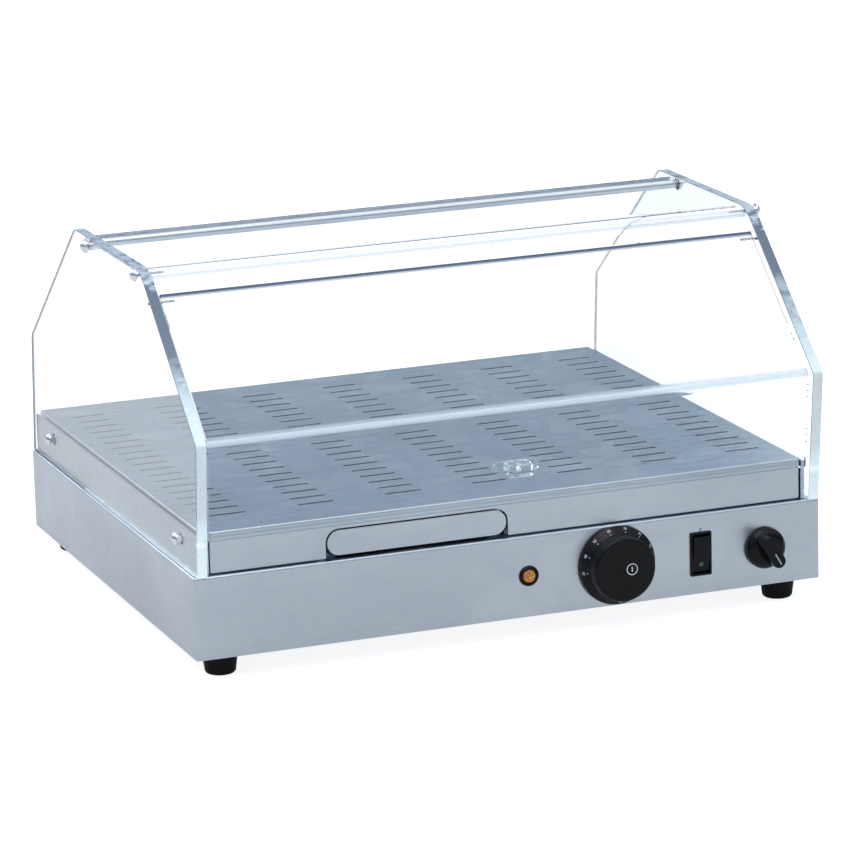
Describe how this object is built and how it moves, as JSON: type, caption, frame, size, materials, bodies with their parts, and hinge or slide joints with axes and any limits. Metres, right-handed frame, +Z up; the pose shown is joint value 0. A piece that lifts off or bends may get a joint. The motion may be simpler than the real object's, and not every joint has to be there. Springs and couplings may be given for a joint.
{
  "type": "counter-top heated display",
  "caption": "Heated food display with a slotted lift-off deck, a water drawer, front controls and a clear hood with a lift-up front flap and an open back.",
  "frame": {"origin": "on the table, at the centre of the base's footprint", "axes": "+X to the user's right along the width, +Y to the open rear, +Z up"},
  "size_m": [0.6104, 0.546, 0.3453],
  "materials": {
    "stainless": "fine brushed grain",
    "galvanised": "dull zinc",
    "clear": "clear polished acrylic",
    "bright": "polished",
    "rubber": "matt black",
    "black": "black phenolic",
    "amber": "translucent amber",
    "green": "translucent green",
    "ceramic": "cream steatite",
    "element": "dark oxidised sheath",
    "copper": "copper capillary and bulb",
    "grey_plastic": "moulded nylon"
  },
  "bodies": {
    "cabinet": {"base_front": "stainless", "base_rear": "stainless", "base_left": "stainless", "base_right": "stainless", "base_top": "stainless", "bottom_pan": "galvanised", "rubber_feet": "rubber", "foot_screws": "galvanised", "foot_nuts": "galvanised", "riser_left": "stainless", "riser_right": "stainless", "riser_rear": "stainless", "riser_front": "stainless", "deck_ledge_left": "stainless", "deck_ledge_right": "stainless", "heating_element": "element", "element_bracket_front": "galvanised", "element_bracket_rear": "galvanised", "element_clips": "galvanised", "drawer_rails": "stainless", "side_panel_left": "clear", "side_panel_right": "clear", "top_panel": "clear", "tie_rod": "bright", "rod_nuts": "bright", "crown_screws": "bright", "side_screws": "bright", "thermostat_body": "ceramic", "selector_body": "grey_plastic", "thermostat_bulb": "copper", "rocker_housing": "black", "pilot_bezel": "black", "pilot_lens": "amber", "pilot_nut": "grey_plastic", "terminal_block": "ceramic", "cable_gland": "grey_plastic", "gland_nut": "grey_plastic"},
    "deck": {"deck_plate": "stainless"},
    "drawer": {"water_drawer": "stainless", "drawer_pull": "stainless"},
    "flap": {"front_flap": "clear", "flap_pins": "bright", "flap_knob": "clear", "knob_screw": "bright"},
    "dial": {"thermostat_dial": "black", "thermostat_shaft": "bright"},
    "selector": {"selector_knob": "black", "selector_shaft": "bright"},
    "rocker": {"rocker_button": "black", "rocker_lamp": "green"}
  },
  "joints": [
    {"name": "flap_hinge", "type": "hinge", "parent": "cabinet", "child": "flap", "pos_m": [0, -0.14146, 0.31857], "axis": [-1, 0, 0], "range_deg": [0, 144]},
    {"name": "deck_lift", "type": "slide", "parent": "cabinet", "child": "deck", "axis": [0, 0, 1], "range_m": [0, 0.08]},
    {"name": "drawer_slide", "type": "slide", "parent": "cabinet", "child": "drawer", "axis": [0, -1, 0], "range_m": [0, 0.3]},
    {"name": "dial_turn", "type": "hinge", "parent": "cabinet", "child": "dial", "pos_m": [0.098, -0.25, 0.059], "axis": [0, 1, 0], "range_deg": [0, 270]},
    {"name": "selector_turn", "type": "hinge", "parent": "cabinet", "child": "selector", "pos_m": [0.2445, -0.25, 0.0565], "axis": [0, -1, 0], "range_deg": [0, 270]},
    {"name": "rocker_tilt", "type": "hinge", "parent": "cabinet", "child": "rocker", "pos_m": [0.181, -0.2475, 0.0585], "axis": [-1, 0, 0], "range_deg": [0, 16]}
  ]
}
